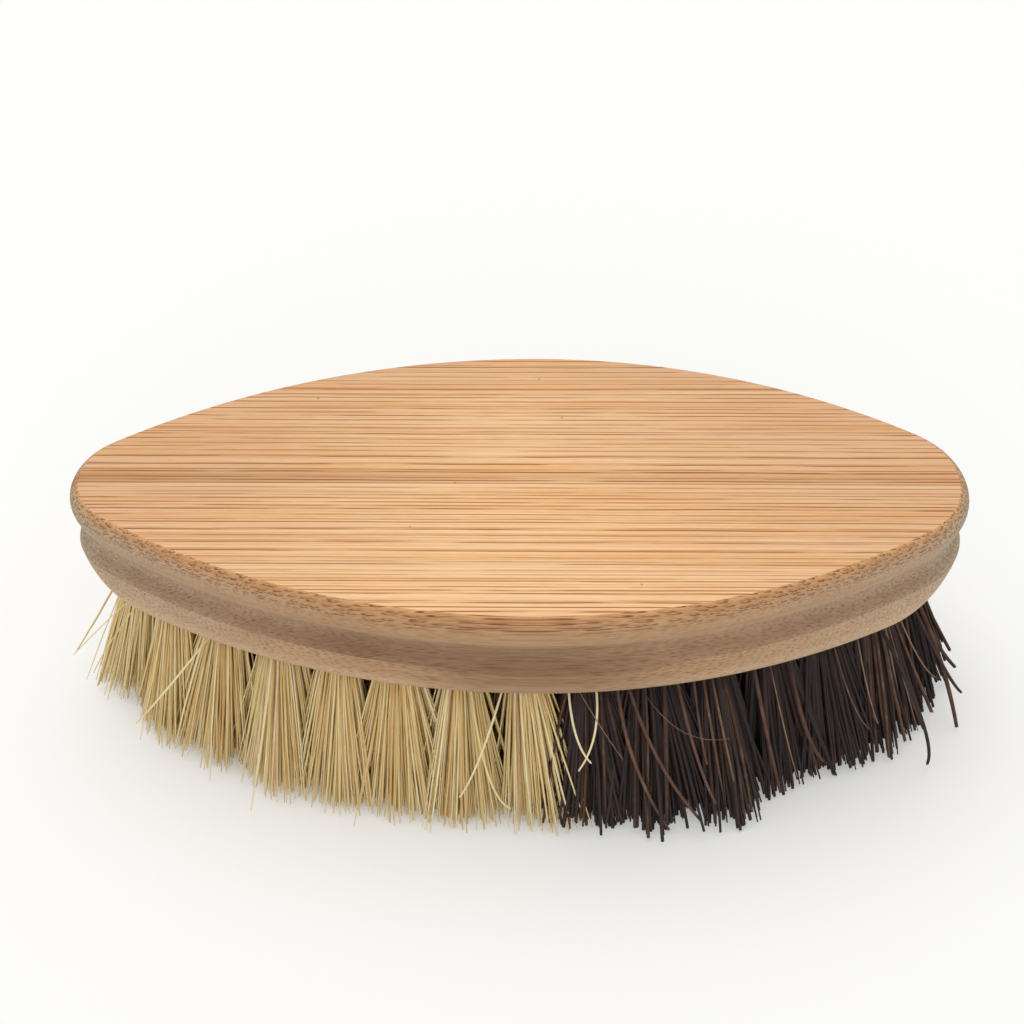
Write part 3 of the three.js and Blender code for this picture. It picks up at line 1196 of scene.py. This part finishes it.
    def finish(self, ply: Ply, side: Side) -> BambooFinish:
        """Choose the bamboo of one strip.

        Args:
            ply: The ply.
            side: The strip's side of the seam.

        Returns:
            The finish.
        """
        low, high = self.faces_of(ply)
        seed = self.ply_seed * list(Ply).index(ply) + self.side_seed * list(Side).index(side)
        shared = {
            "name": f"bamboo_{ply.value}_{side.value}",
            "seed": seed,
            "low": low,
            "high": high,
            "seam": self.seams[ply],
        }
        if ply is Ply.TOP:
            return BambooFinish(
                **shared,
                ring_share=1.0,
                speck_share=0.6,
                seam_line=0.4,
                seam_shade=0.4 if side is Side.REAR else 0.0,
                arris_share=0.8,
                bounce_light_share=0.12,
                glue_height=low,
            )
        if ply is Ply.CORE:
            return BambooFinish(
                **shared,
                side_light=srgb(197, 161, 129),
                side_middle=srgb(176, 141, 110),
                low_shade=0.2,
                dark_stretch_share=0.3,
                dark_stretch_at=-8.0,
                dark_stretch_reach=34.0,
                crown_share=0.18,
                speck_share=0.65,
                glue_height=high,
            )
        return BambooFinish(
            **shared,
            side_light=srgb(216, 177, 138),
            side_middle=srgb(199, 158, 121),
            end_light=srgb(226, 203, 175),
            end_dark=srgb(197, 174, 146),
            speck_share=0.75,
            bounce_light_share=0.45,
            head_share=0.25,
            dark_stretch_share=0.5,
            dark_stretch_at=4.0,
            dark_stretch_reach=26.0,
        )


@dataclass(kw_only=True)
class SweptFibres:
    """Thin tapering fibres, each swept by a geometry tree from its root to its tip."""

    fibre: Fibre
    name: str
    finish: FibreFinish
    fibre_radius: float
    steps: int
    sides: int = 4
    tip_taper: float = 0.25

    def lengths(self) -> dict[str, float]:
        """The tree's lengths by name, in millimetres."""
        return {"Fibre Radius": self.fibre_radius}

    def numbers(self) -> dict[str, float]:
        """The tree's plain numbers by name."""
        return {"Tip Taper": self.tip_taper}

    def counts(self) -> dict[str, int]:
        """The tree's whole numbers by name."""
        return {}

    def points(self, graph: Graph, size: Mapping[str, Wire]) -> Wire:
        """One point for each fibre, with its root, tip, bow, tone and thickness stored on it."""
        return graph.node("GeometryNodeMeshToPoints", None, {"Mesh": size["Roots"]})

    def grow(self, piece: bpy.types.Object) -> bpy.types.Object:
        """Turn an object's points into dressed fibres.

        Args:
            piece: A mesh of points.

        Returns:
            The same object, now a plain mesh of fibres.
        """
        tree = bpy.data.node_groups.new(self.name, "GeometryNodeTree")
        face = tree.interface
        face.new_socket("Roots", in_out="INPUT", socket_type="NodeSocketGeometry")
        values: dict[str, Any] = {}
        kinds = [
            ("NodeSocketFloat", {name: value * MM for name, value in self.lengths().items()}),
            ("NodeSocketFloat", self.numbers()),
            ("NodeSocketInt", self.counts()),
            ("NodeSocketMaterial", {"Fibre Finish": self.finish.material()}),
        ]
        for kind, group in kinds:
            for name, value in group.items():
                values[face.new_socket(name, in_out="INPUT", socket_type=kind).identifier] = value
        face.new_socket("Fibres", in_out="OUTPUT", socket_type="NodeSocketGeometry")
        self._fill(tree)
        grow = piece.modifiers.new("fibres", "NODES")
        grow.node_group = tree
        for identifier, value in values.items():
            grow[identifier] = value
        settle(piece)
        bpy.data.node_groups.remove(tree)
        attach(piece, "root")
        return piece

    def _fill(self, tree: bpy.types.NodeTree) -> None:
        """Add the tree's nodes, from its inputs to the dressed fibres.

        Args:
            tree: The empty tree, with its inputs and output named.
        """
        graph = Graph(tree)
        first = graph.node("NodeGroupInput")
        sockets = first.socket.node.outputs
        size = {socket.name: Wire(graph, socket) for socket in sockets if socket.name}
        fibres = self._sweep(graph, size, self.points(graph, size))
        whole = graph.node("GeometryNodeRealizeInstances", None, {"Geometry": fibres})
        dress = {"Geometry": whole, "Material": size["Fibre Finish"]}
        dressed = graph.node("GeometryNodeSetMaterial", None, dress)
        out = tree.nodes.new("NodeGroupOutput")
        tree.links.new(dressed.socket, out.inputs[0])

    @staticmethod
    def stored(graph: Graph, name: str, kind: str = "FLOAT_VECTOR") -> Wire:
        """A value kept on the points under a name."""
        return graph.node("GeometryNodeInputNamedAttribute", {"data_type": kind}, {"Name": name})

    @staticmethod
    def store(graph: Graph, geometry: Wire, name: str, value: Wire, kind: str) -> Wire:
        """Keep a value on the points under a name."""
        inputs = {"Geometry": geometry, "Name": name, "Value": value}
        return graph.node("GeometryNodeStoreNamedAttribute", {"data_type": kind, "domain": "POINT"}, inputs)

    def _sweep(self, graph: Graph, size: Mapping[str, Wire], points: Wire) -> Wire:
        """Turn each point into a thin tapering fibre from its root to its tip.

        Args:
            graph: The tree in the making.
            size: The tree's inputs.
            points: The points with their stored values.

        Returns:
            The fibres as a mesh.
        """
        line = graph.node("GeometryNodeCurvePrimitiveLine", None, {"End": (0.0, 0.0, 1.0)})
        line = graph.node("GeometryNodeResampleCurve", None, {"Curve": line, "Count": self.steps})
        fibres = graph.node("GeometryNodeInstanceOnPoints", None, {"Points": points, "Instance": line})
        fibres = graph.node("GeometryNodeRealizeInstances", None, {"Geometry": fibres})
        share = graph.node("GeometryNodeSplineParameter", None, None, "Factor")
        fibres = self.store(graph, fibres, "along", share, "FLOAT")
        along = self.stored(graph, "along", "FLOAT")
        root = self.stored(graph, "root")
        place = root + (self.stored(graph, "tip") - root) * along
        # This share of the bow is 0 at both ends and 1 half-way.
        bow_share = along * (1 - along) * 4
        place = place + self.stored(graph, "bow") * bow_share
        fibres = graph.node("GeometryNodeSetPosition", None, {"Geometry": fibres, "Position": place})
        circle = {"Resolution": self.sides, "Radius": 1.0}
        section = graph.node("GeometryNodeCurvePrimitiveCircle", None, circle)
        taper = 1 - along**3 * size["Tip Taper"]
        thickness = self.stored(graph, "thick", "FLOAT") * size["Fibre Radius"] * taper
        sweep = {"Curve": fibres, "Profile Curve": section, "Scale": thickness, "Fill Caps": True}
        return graph.node("GeometryNodeCurveToMesh", None, sweep)


@dataclass(kw_only=True)
class FibreTufts(SweptFibres):
    """The tufts of one fibre, scattered by the same tree that sweeps them.

    A tuft is a bundle of locks, and chance places each fibre, its lock and its tuft. A field that ends in
    by_fibre, by_lock or by_tuft is the share that each of them has in the result.
    """

    rows: Rows
    fibres_per_tuft: int
    locks_per_tuft: int
    tuft_root_radius: float
    tuft_tip_width: float
    tuft_tip_depth: float
    lock_lean: float
    tip_scatter: float
    sway: float
    bow: float
    uneven: float
    stray_share: float
    stray_lean: float
    spread_along: float
    spread_across: float
    tip_shift: float
    seed: int
    thinnest: float
    thickest: float
    underside: float = UNDERSIDE
    root_depth: float = 3.0
    tip_clearance: float = 0.4
    edge_slenderness: float = 0.2
    place_by_lock: float = 0.6
    place_by_fibre: float = 0.5
    least_lean: float = 0.3
    stray_fan: float = 0.6
    stray_lift: float = 0.25
    short_by_fibre: float = 0.6
    short_by_lock: float = 0.4
    fibre_short_power: float = 2.2
    lock_short_power: float = 2.0
    tone_by_fibre: float = 0.6
    tone_by_lock: float = 0.28
    tone_by_tuft: float = 0.12

    def build(self, centres: Sequence[Vector]) -> bpy.types.Object:
        """Make and dress the fibres of every tuft.

        Args:
            centres: Middles of the tufts in metres.

        Returns:
            The fibres as one mesh.
        """
        shape = bmesh.new()
        for centre in centres:
            shape.verts.new((centre.x, centre.y, 0))
        piece = self.grow(mesh_object(self.name, shape))
        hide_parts(f"{self.fibre.value}_bristles")
        return piece

    def lengths(self) -> dict[str, float]:
        """Add the lengths of a tuft to those of a fibre.

        Returns:
            The tree's lengths by name, in millimetres.
        """
        return super().lengths() | {
            "Tuft Root Radius": self.tuft_root_radius,
            "Tuft Tip Width": self.tuft_tip_width,
            "Tuft Tip Depth": self.tuft_tip_depth,
            "Lock Lean": self.lock_lean,
            "Tip Scatter": self.tip_scatter,
            "Tuft Sway": self.sway,
            "Fibre Bow": self.bow,
            "Uneven Tips": self.uneven,
            "Stray Lean": self.stray_lean,
            "Tip Shift": self.tip_shift,
            "Root Height": self.underside + self.root_depth,
            "Tip Clearance": self.tip_clearance,
        }

    def numbers(self) -> dict[str, float]:
        """Add the plain numbers of a tuft to those of a fibre.

        Returns:
            The tree's plain numbers by name.
        """
        return super().numbers() | {
            "Stray Share": self.stray_share,
            "Spread Along": self.spread_along,
            "Spread Across": self.spread_across,
            "Edge Slenderness": self.edge_slenderness,
            "Thinnest": self.thinnest,
            "Thickest": self.thickest,
        }

    def counts(self) -> dict[str, int]:
        """Count the fibres and locks of a tuft.

        Returns:
            The tree's whole numbers by name.
        """
        return {
            "Fibres Per Tuft": self.fibres_per_tuft,
            "Locks Per Tuft": self.locks_per_tuft,
            "Seed": self.seed,
        }

    def points(self, graph: Graph, size: Mapping[str, Wire]) -> Wire:
        """Scatter the fibres of each tuft.

        Args:
            graph: The tree in the making.
            size: The tree's inputs.

        Returns:
            One point for each fibre, with its values stored on it.
        """

        def chance(
            salt: int,
            who: Optional[Wire] = None,
            low: Operand = 0.0,
            high: Operand = 1.0,
            kind: str = "FLOAT",
        ) -> Wire:
            """Draw a random value.

            Args:
                salt: What is added to the tree's seed.
                who: A number that the points of a lock or a tuft share, where they share the value too.
                low: The lowest value.
                high: The highest value.
                kind: The value's type.

            Returns:
                The value.
            """
            inputs = {"Min": low, "Max": high, "Seed": size["Seed"] + salt}
            if who is not None:
                inputs["ID"] = who
            return graph.node("FunctionNodeRandomValue", {"data_type": kind}, inputs, "Value")

        def math_of(operation: str, first: Operand, second: Operand = 0.0) -> Wire:
            """A Math node that has no operator."""
            return graph.node("ShaderNodeMath", {"operation": operation}, {0: first, 1: second})

        def disc(salt: int, who: Optional[Wire] = None) -> Wire:
            """Draw a random place in a level disc of radius 1.

            Args:
                salt: What is added to the tree's seed, and one more for the second number.
                who: A number that the points of a lock or a tuft share, where they share the place too.

            Returns:
                The place.
            """
            angle = chance(salt, who, high=2 * math.pi)
            reach = chance(salt + 1, who) ** 0.5
            return graph.vector(math_of("COSINE", angle) * reach, math_of("SINE", angle) * reach, 0.0)

        tufts = graph.node("GeometryNodeMeshToPoints", None, {"Mesh": size["Roots"]})
        tufts = self.store(graph, tufts, "tuft", graph.node("GeometryNodeInputIndex"), "INT")
        copies = {"Geometry": tufts, "Amount": size["Fibres Per Tuft"]}
        points = graph.node("GeometryNodeDuplicateElements", {"domain": "POINT"}, copies)
        tuft = self.stored(graph, "tuft", "INT")
        locks = size["Locks Per Tuft"]
        lock = tuft * locks + chance(Draw.LOCK, low=0, high=locks - 1, kind="INT")
        points = self.store(graph, points, "lock", lock, "INT")
        lock = self.stored(graph, "lock", "INT")
        centre = graph.node("GeometryNodeInputPosition")
        across = disc(Draw.LOCK_PLACE, lock) * self.place_by_lock + disc(Draw.PLACE) * self.place_by_fibre
        root = centre + across * size["Tuft Root Radius"] + graph.vector(0.0, 0.0, size["Root Height"])
        towards_edge = centre * graph.vector(size["Edge Slenderness"], 1.0, 0.0)
        outward = graph.node("ShaderNodeVectorMath", {"operation": "NORMALIZE"}, {0: towards_edge})
        both = {0: across, 1: outward}
        out_share = graph.node("ShaderNodeVectorMath", {"operation": "DOT_PRODUCT"}, both, "Value")
        spread = across * size["Tuft Tip Width"]
        spread = spread - outward * (out_share * (size["Tuft Tip Width"] - size["Tuft Tip Depth"]))
        is_stray = math_of("LESS_THAN", chance(Draw.STRAY), size["Stray Share"])
        lean = is_stray * chance(Draw.STRAY_LEAN, low=self.least_lean) * size["Stray Lean"]
        fan = graph.vector(size["Spread Along"], size["Spread Across"], 1.0)
        tip = centre * fan + spread + graph.vector(size["Tip Shift"], 0.0, 0.0)
        tip = tip + disc(Draw.TUFT_SWAY, tuft) * size["Tuft Sway"]
        tip = tip + disc(Draw.LOCK_LEAN, lock) * size["Lock Lean"]
        tip = tip + disc(Draw.TIP_SCATTER) * size["Tip Scatter"]
        tip = tip + (outward + across * self.stray_fan) * lean
        uneven = chance(Draw.SHORTNESS) ** self.fibre_short_power * self.short_by_fibre
        lock_uneven = chance(Draw.LOCK_SHORTNESS, lock) ** self.lock_short_power * self.short_by_lock
        uneven = uneven + lock_uneven
        short = uneven * size["Uneven Tips"] + lean * self.stray_lift + size["Tip Clearance"]
        tip = tip + graph.vector(0.0, 0.0, short)
        bow = disc(Draw.BOW) * size["Fibre Bow"]
        tone = chance(Draw.TONE) * self.tone_by_fibre + chance(Draw.LOCK_TONE, lock) * self.tone_by_lock
        tone = tone + chance(Draw.TUFT_TONE, tuft) * self.tone_by_tuft
        thick = chance(Draw.THICKNESS, low=size["Thinnest"], high=size["Thickest"])
        values = [
            ("root", root, "FLOAT_VECTOR"),
            ("tip", tip, "FLOAT_VECTOR"),
            ("bow", bow, "FLOAT_VECTOR"),
            ("tone", tone, "FLOAT"),
            ("thick", thick, "FLOAT"),
        ]
        for name, value, kind in values:
            points = self.store(graph, points, name, value, kind)
        return points


@dataclass(frozen=True)
class Stray:
    """One loose fibre: its root, the point half-way along and its tip, in millimetres.

    Its thickness is a share of the radius of its kind, and its tone runs from 0 to 1.
    """

    root: tuple[float, float, float]
    middle: tuple[float, float, float]
    tip: tuple[float, float, float]
    thick: float
    tone: float

    def bow(self) -> Vector:
        """How far the middle lies off the straight line from root to tip."""
        return Vector(self.middle) - (Vector(self.root) + Vector(self.tip)) / 2


@dataclass(kw_only=True)
class StrayFibres(SweptFibres):
    """Single fibres that have sprung loose from the tufts."""

    strays: Sequence[Stray]

    def build(self) -> bpy.types.Object:
        """Make and dress the loose fibres.

        Returns:
            The fibres as one mesh.
        """
        shape = bmesh.new()
        for stray in self.strays:
            shape.verts.new(Vector(stray.root) * MM)
        piece = mesh_object(self.name, shape)
        vectors = {
            "root": [Vector(stray.root) * MM for stray in self.strays],
            "tip": [Vector(stray.tip) * MM for stray in self.strays],
            "bow": [stray.bow() * MM for stray in self.strays],
        }
        for name, values in vectors.items():
            stored = piece.data.attributes.new(name, "FLOAT_VECTOR", "POINT")
            stored.data.foreach_set("vector", [number for value in values for number in value])
        for name in ("thick", "tone"):
            stored = piece.data.attributes.new(name, "FLOAT", "POINT")
            stored.data.foreach_set("value", [getattr(stray, name) for stray in self.strays])
        return self.grow(piece)


@dataclass
class Studio:
    """A pale floor, soft light from above and a camera at the photograph's viewing angle.

    The camera's angles are in radians and its lengths in millimetres. The floor and the lamps are in metres,
    and the lamps' powers in watts.
    """

    target_height: float = 42.5
    azimuth: float = 0.027
    elevation: float = 0.732
    distance: float = 361.78
    roll: float = -0.014
    focal_pixels: float = 2435.2
    target_pixel: tuple[float, float] = (517.81, 480.19)
    image_pixels: float = 1024.0
    sensor: float = 36.0
    nearest_seen: float = 10.0
    floor_size: float = 6.0
    sky: float = 0.66
    key_power: float = 5.6
    key_size: float = 1.1
    key_place: tuple[float, float, float] = (-0.15, 0.25, 1.2)
    fill_power: float = 1.5
    fill_size: float = 0.9
    fill_place: tuple[float, float, float] = (0.1, -0.95, 0.28)

    def build(self) -> None:
        """Add the floor, the light and the camera."""
        self._floor()
        self._light()
        self._camera()
        bpy.context.scene.view_settings.view_transform = "Standard"

    def _floor(self) -> None:
        """Lay the floor under the bristle tips."""
        shape = bmesh.new()
        bmesh.ops.create_grid(shape, x_segments=1, y_segments=1, size=self.floor_size / 2)
        floor = mesh_object("floor", shape)
        floor.data.materials.append(FloorFinish().material())

    def _light(self) -> None:
        """Light the brush from a soft sky, a large lamp overhead and a weak one in front."""
        world = bpy.data.worlds.new("soft_sky")
        world.use_nodes = True
        bpy.context.scene.world = world
        world.node_tree.nodes.clear()
        graph = Graph(world.node_tree)
        strength = seen_rays(graph) * (1 - self.sky) + self.sky
        white = (1.0, 1.0, 1.0, 1.0)
        sky = graph.node("ShaderNodeBackground", None, {"Color": white, "Strength": strength})
        out = world.node_tree.nodes.new("ShaderNodeOutputWorld")
        world.node_tree.links.new(sky.socket, out.inputs["Surface"])
        self._lamp("overhead_softbox", self.key_power, self.key_size, self.key_place)
        self._lamp("front_fill", self.fill_power, self.fill_size, self.fill_place)

    def _lamp(self, name: str, power: float, size: float, place: tuple[float, float, float]) -> None:
        """Hang one round soft lamp that faces the brush.

        Args:
            name: The lamp's name.
            power: Its power in watts.
            size: Its diameter in metres.
            place: Where it hangs in metres.
        """
        lamp = bpy.data.lights.new(name, "AREA")
        lamp.shape = "DISK"
        lamp.size = size
        lamp.energy = power
        hung = bpy.data.objects.new(name, lamp)
        hung.location = place
        hung.rotation_euler = (-Vector(place)).to_track_quat("-Z", "Y").to_euler()
        bpy.context.scene.collection.objects.link(hung)

    def _camera(self) -> None:
        """Place the camera where the photograph was taken from."""
        flat = math.cos(self.elevation)
        east = flat * math.sin(self.azimuth)
        north = -flat * math.cos(self.azimuth)
        away = Vector((east, north, math.sin(self.elevation)))
        target = Vector((0, 0, self.target_height * MM))
        lens = bpy.data.cameras.new("camera")
        lens.sensor_width = self.sensor
        lens.lens = self.focal_pixels * self.sensor / self.image_pixels
        lens.shift_x = (self.image_pixels / 2 - self.target_pixel[0]) / self.image_pixels
        lens.shift_y = (self.target_pixel[1] - self.image_pixels / 2) / self.image_pixels
        lens.clip_start = self.nearest_seen * MM
        camera = bpy.data.objects.new("camera", lens)
        turn = (-away).to_track_quat("-Z", "Y").to_matrix().to_4x4() @ Matrix.Rotation(self.roll, 4, "Z")
        camera.matrix_world = Matrix.Translation(target + away * self.distance * MM) @ turn
        bpy.context.scene.collection.objects.link(camera)
        bpy.context.scene.camera = camera


def mesh_object(name: str, shape: bmesh.types.BMesh) -> bpy.types.Object:
    """Turn an edited mesh into an object in the scene.

    Args:
        name: The object's name.
        shape: The edited mesh, which is freed.

    Returns:
        The object, at the origin.
    """
    mesh = bpy.data.meshes.new(name)
    shape.to_mesh(mesh)
    shape.free()
    piece = bpy.data.objects.new(name, mesh)
    bpy.context.scene.collection.objects.link(piece)
    return piece


def settle(piece: bpy.types.Object) -> None:
    """Replace an object's mesh by what its modifiers make of it, and remove them.

    Args:
        piece: The object.
    """
    bpy.context.view_layer.update()
    depsgraph = bpy.context.evaluated_depsgraph_get()
    made = bpy.data.meshes.new_from_object(
        piece.evaluated_get(depsgraph), preserve_all_data_layers=True, depsgraph=depsgraph
    )
    piece.modifiers.clear()
    old = piece.data
    piece.data = made
    bpy.data.meshes.remove(old)


def anchor_nodes(frame: Mapping[str, Any], fibre: Fibre) -> list[str]:
    """Names of the anchors of one fibre's tufts, in order."""
    return sorted(name for name in frame["nodes"] if name.startswith(f"{fibre.value}_tuft_anchor"))


def tuft_centres(frame: Mapping[str, Any], fibre: Fibre, rows: Rows) -> list[Vector]:
    """Middles of one fibre's tufts, from the anchors that hold them.

    Args:
        frame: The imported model.
        fibre: The fibre.
        rows: Which of its tufts.

    Returns:
        The middles in metres.
    """
    names = anchor_nodes(frame, fibre)
    outer = OUTER_TUFTS[fibre]
    kept = names[:outer] if rows is Rows.OUTER else names[outer:]
    corners = [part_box(name) for name in kept]
    return [(Vector(low) + Vector(high)) / 2 for low, high in corners]


def dress_anchors(frame: Mapping[str, Any]) -> list[bpy.types.Object]:
    """Give every wire anchor its steel.

    Args:
        frame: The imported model.

    Returns:
        The anchors.
    """
    steel = WireFinish().material()
    anchors = [frame["nodes"][name] for fibre in Fibre for name in anchor_nodes(frame, fibre)]
    for anchor in anchors:
        anchor.data.materials.clear()
        anchor.data.materials.append(steel)
    return anchors


PALE_FINISH = FibreFinish(
    name="pale_fibre",
    stops=(
        (0.0, srgb(226, 176, 112)),
        (0.22, srgb(236, 203, 140)),
        (0.5, srgb(247, 223, 160)),
        (0.78, srgb(255, 242, 198)),
        (1.0, srgb(232, 186, 144)),
    ),
    root_shade=srgb(206, 188, 160),
    roughness=0.6,
    specular=0.3,
)

DARK_FINISH = FibreFinish(
    name="dark_fibre",
    stops=(
        (0.0, srgb(63, 58, 58)),
        (0.56, srgb(68, 60, 59)),
        (0.72, srgb(86, 66, 59)),
        (0.86, srgb(116, 88, 72)),
        (0.97, srgb(152, 124, 100)),
    ),
    root_shade=srgb(150, 146, 144),
    roughness=0.65,
    specular=0.06,
)

PALE_STRAYS = (
    Stray((7.5, -22, 27), (8.4, -29.5, 21), (11, -31.5, 15.2), 0.9, 0.75),
    Stray((11, -22, 27), (11.7, -29.5, 21.5), (9.2, -31.5, 13.5), 0.9, 0.75),
    Stray((-1, -23, 27), (-4.8, -30.5, 17), (-8.4, -32, 8), 0.9, 0.7),
    Stray((-7, -23, 27), (-4.5, -30.5, 13), (-0.9, -32, 5.5), 0.9, 0.6),
    Stray((2.5, -23, 27), (6.6, -29, 15), (9.45, -31, 4.8), 0.8, 0.5),
    Stray((2, -23, 27), (5.4, -29.5, 14.5), (7.7, -31.5, 3.7), 0.8, 0.65),
    Stray((-44, -13, 26), (-52, -19, 18), (-59.4, -14, 4), 0.9, 0.7),
    Stray((-55.5, -5.5, 27), (-63.3, -7.6, 19.6), (-69.2, -7.3, 12.2), 0.5, 0.6),
    Stray((-55, -6, 27), (-61.7, -9.5, 18.6), (-66.2, -8.4, 9.4), 0.5, 0.5),
)

DARK_STRAYS = (
    Stray((7, -23, 27), (11.9, -29.9, 22.3), (15.6, -32.3, 17), 0.22, 0.95),
    Stray((16.8, -22.5, 25.5), (23.3, -28.8, 20.1), (31, -31.1, 20.3), 0.18, 0.9),
    Stray((14.5, -23, 27), (16.9, -29.8, 15.6), (22.8, -32, 0.9), 0.8, 0.85),
    Stray((15.5, -23, 27), (20.4, -29.8, 15.5), (27.6, -32, 2.9), 0.8, 0.82),
    Stray((23, -23, 27), (26.1, -29.8, 16.6), (29.5, -32, 7.1), 0.7, 0.85),
    Stray((21.5, -23, 27), (22.1, -29.5, 13.7), (22.4, -31.8, 0.8), 1.1, 0.72),
    Stray((13, -23, 27), (13, -31.5, 3), (14.4, -31, 14), 0.7, 0.4),
    Stray((12.2, -23.5, 27), (12.9, -29.7, 14.1), (13.4, -32, 1.2), 0.7, 0.74),
    Stray((18.6, -22.6, 27), (19.4, -28.9, 14.3), (19.3, -31.1, 3.8), 0.6, 0.82),
    Stray((25.6, -21, 27), (26.8, -27.2, 19.2), (28.1, -29.7, 13.1), 0.6, 0.82),
    Stray((26.8, -20.8, 27), (29, -27, 15.7), (31.1, -29.3, 4.7), 0.65, 0.85),
    Stray((27.9, -20.5, 27), (30.5, -26.8, 16.6), (32.7, -29.1, 6.7), 0.55, 0.9),
    Stray((34.3, -18.8, 27), (36.5, -25, 17.6), (39.6, -27.3, 4.2), 0.9, 0.78),
    Stray((36.6, -18, 27), (39.2, -24.2, 17.2), (42, -26.5, 6.7), 0.35, 0.95),
    Stray((39.7, -17, 27), (42.4, -23.1, 16), (45.8, -25.4, 9), 0.95, 0.75),
    Stray((46.2, -14.3, 27), (49.2, -20.5, 18.8), (52.4, -22.8, 13.5), 0.35, 0.88),
    Stray((50, -12.7, 27), (51.9, -18.9, 19.3), (54, -21.2, 12.9), 0.35, 0.95),
    Stray((58.5, -2.5, 27), (63.3, -4, 15.4), (67.9, -5, 8.2), 1.0, 0.72),
    Stray((58, -2.5, 27), (64.3, -6, 13.5), (68.3, -10.8, 0.8), 1.1, 0.76),
    Stray((57.5, -4, 27), (64.6, -7, 12.5), (69, -7, 4.6), 0.85, 0.6),
    Stray((58.4, -2.2, 27), (64.2, -5.8, 13.4), (67.1, -7.4, 5.2), 1.0, 0.74),
    Stray((52, -9, 27), (60.5, -17.5, 12), (62.9, -18.5, 0.8), 0.9, 0.2),
    Stray((55, -3, 27), (60, -9, 17), (64.6, -7, 8), 0.4, 1.0),
)


def fibre_pieces() -> tuple[list[FibreTufts], list[StrayFibres]]:
    """Fine straw-coloured fibre at one end and coarse dark palm fibre at the other.

    Returns:
        The tufts and the loose fibres.
    """
    pale = FibreTufts(
        fibre=Fibre.PALE,
        name="pale_fibres_outer",
        finish=PALE_FINISH,
        rows=Rows.OUTER,
        fibre_radius=0.17,
        fibres_per_tuft=460,
        locks_per_tuft=14,
        tuft_root_radius=2.5,
        tuft_tip_width=9.0,
        tuft_tip_depth=5.8,
        lock_lean=1.6,
        tip_scatter=1.4,
        sway=1.0,
        bow=0.4,
        uneven=1.8,
        stray_share=0.03,
        stray_lean=3.0,
        spread_along=1.12,
        spread_across=1.27,
        tip_shift=1.8,
        seed=30,
        thinnest=0.65,
        thickest=1.3,
        tip_taper=0.5,
        steps=4,
    )
    dark = FibreTufts(
        fibre=Fibre.DARK,
        name="dark_fibres_outer",
        finish=DARK_FINISH,
        rows=Rows.OUTER,
        fibre_radius=0.25,
        fibres_per_tuft=500,
        locks_per_tuft=12,
        tuft_root_radius=2.5,
        tuft_tip_width=9.0,
        tuft_tip_depth=6.0,
        lock_lean=1.8,
        tip_scatter=1.6,
        sway=1.0,
        bow=0.7,
        uneven=3.6,
        stray_share=0.015,
        stray_lean=3.0,
        spread_along=1.05,
        spread_across=1.31,
        tip_shift=1.7,
        seed=20,
        thinnest=0.6,
        thickest=1.65,
        steps=4,
    )
    tufts = [
        pale,
        replace(pale, name="pale_fibres_inner", rows=Rows.INNER, fibres_per_tuft=480, seed=12),
        dark,
        replace(dark, name="dark_fibres_inner", rows=Rows.INNER, fibres_per_tuft=560, seed=24),
    ]
    loose = {"steps": 16, "sides": 6}
    pale_loose = StrayFibres(
        fibre=Fibre.PALE,
        name="loose_pale_fibres",
        finish=replace(PALE_FINISH, name="loose_pale_fibre"),
        fibre_radius=0.2,
        strays=PALE_STRAYS,
        **loose,
    )
    dark_loose = StrayFibres(
        fibre=Fibre.DARK,
        name="loose_dark_fibres",
        finish=replace(DARK_FINISH, name="loose_dark_fibre"),
        fibre_radius=0.34,
        strays=DARK_STRAYS,
        **loose,
    )
    return tufts, [pale_loose, dark_loose]


def main() -> None:
    """Build and dress the brush and its studio."""
    logging.basicConfig(level=logging.INFO, format="%(name)s: %(message)s")
    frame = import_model()
    centres = {(fibre, rows): tuft_centres(frame, fibre, rows) for fibre in Fibre for rows in Rows}
    Studio().build()
    pieces = BambooBlock().build([centre for group in centres.values() for centre in group])
    tufts, loose = fibre_pieces()
    pieces += [tuft.build(centres[tuft.fibre, tuft.rows]) for tuft in tufts]
    pieces += [strays.build() for strays in loose]
    pieces += dress_anchors(frame)
    for piece in pieces:
        LOG.info("%s: %d faces", piece.name, len(piece.data.polygons))


if __name__ == "__main__":
    main()
